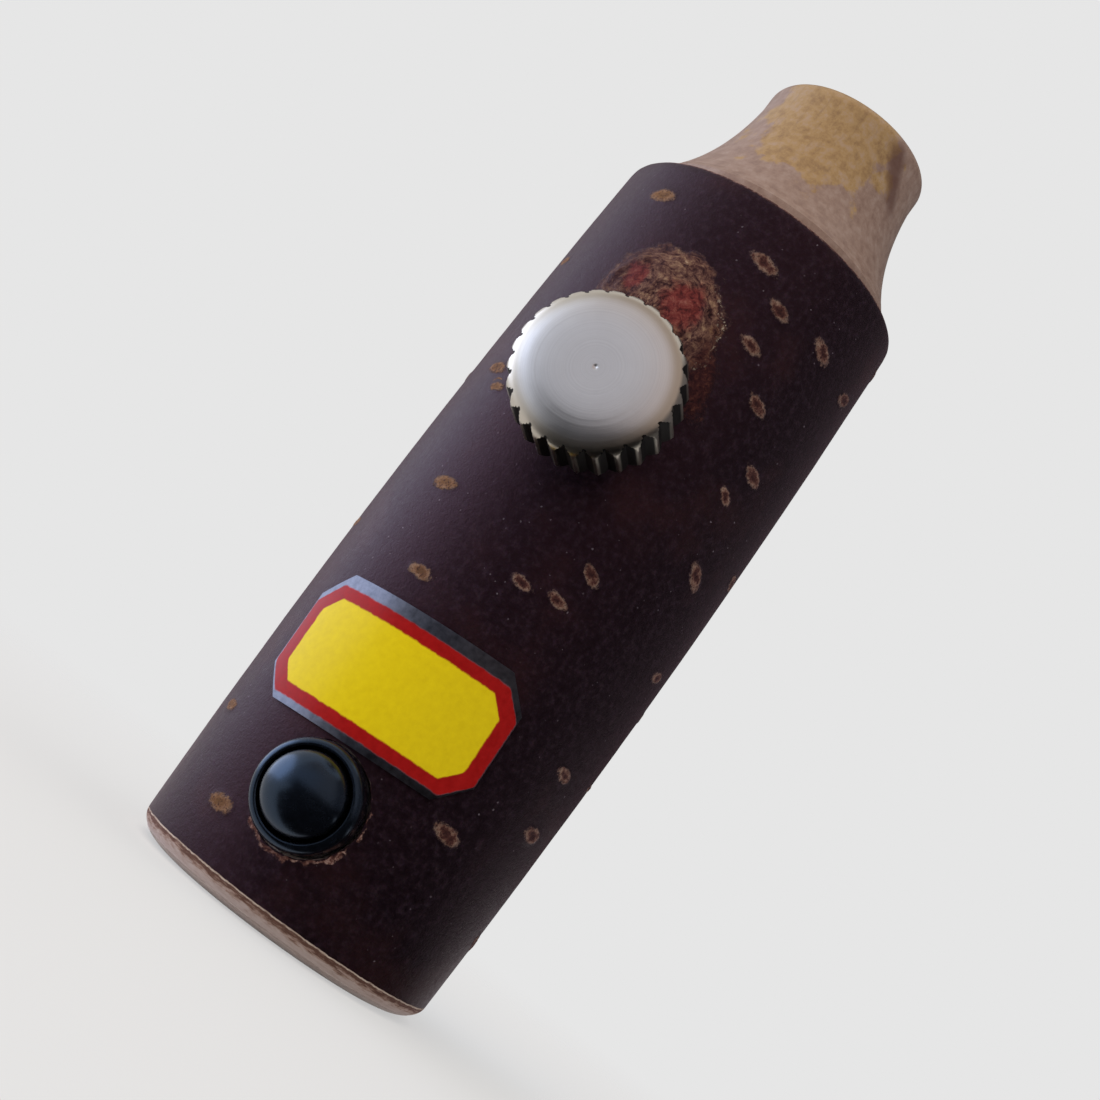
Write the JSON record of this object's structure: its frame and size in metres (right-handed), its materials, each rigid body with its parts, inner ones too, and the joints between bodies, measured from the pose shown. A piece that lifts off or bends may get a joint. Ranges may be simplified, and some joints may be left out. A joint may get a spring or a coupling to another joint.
{
  "type": "roe deer call",
  "caption": "Bark-covered wooden game call with a turned mouthpiece, a knurled screw that tunes the reed inside, a sprung black tone button and a blank label.",
  "frame": {"origin": "centre of the object's box over the plane of the open foot that it stands on", "axes": "+Z along the barrel towards the mouthpiece, -Y towards the tuning knob and the button, +X to the right of the knob"},
  "size_m": [0.0262, 0.0328, 0.0761],
  "materials": {
    "branch_wood": "sanded end grain, layered, oiled",
    "bark": "smooth natural bark with lenticels, lacquered satin",
    "turned_wood": "turned, mottled, lacquered satin",
    "reed_wood": "turned hardwood, oiled",
    "cork": "cork, matt",
    "brass": "turned",
    "rubber": "matt",
    "steel": "bright",
    "aluminium": "turned satin",
    "black_plastic": "moulded gloss",
    "felt": "pressed felt",
    "label_foil": "printed foil-backed label, semi-gloss"
  },
  "bodies": {
    "barrel": {"barrel_wood": "branch_wood", "barrel_bark": "bark", "mouthpiece": "turned_wood", "mouthpiece_cork": "cork", "reed_body": "reed_wood", "reed_cork": "cork", "reed_wedge": "cork", "label": "label_foil", "screw_insert": "brass", "friction_ring": "rubber", "button_bush": "black_plastic"},
    "pressure_shoe": {"pressure_shoe": "brass"},
    "tuning_screw": {"tuning_shank": "steel", "tuning_knob": "aluminium"},
    "reed_tongue": {"reed_tongue": "brass"},
    "tone_button": {"button_cap": "black_plastic", "button_stem": "brass", "button_spring": "steel", "damper_plate": "brass", "damper_pad": "felt"}
  },
  "joints": [
    {"name": "screw_feed", "type": "slide", "parent": "barrel", "child": "pressure_shoe", "axis": [0, 1, 0], "range_m": [-0.0007, 0.0007]},
    {"name": "knob_turn", "type": "hinge", "parent": "pressure_shoe", "child": "tuning_screw", "pos_m": [0, -0.012, 0.0427], "axis": [0, 1, 0], "range_deg": [-360.1, 360.1]},
    {"name": "reed_flex", "type": "hinge", "parent": "barrel", "child": "reed_tongue", "pos_m": [0, 0.00163, 0.027], "axis": [-1, 0, 0], "range_deg": [-2.6, 2.6]},
    {"name": "button_press", "type": "slide", "parent": "barrel", "child": "tone_button", "axis": [0, 1, 0], "range_m": [0, 0.0012], "stiffness_N_per_m": 400, "springref_m": -0.0005, "deforming": ["button_spring"]}
  ],
  "couplings": [
    {"joint": "knob_turn", "follows": "screw_feed", "rad_per_m": 8976},
    {"joint": "reed_flex", "follows": "screw_feed", "rad_per_m": 63.695}
  ]
}
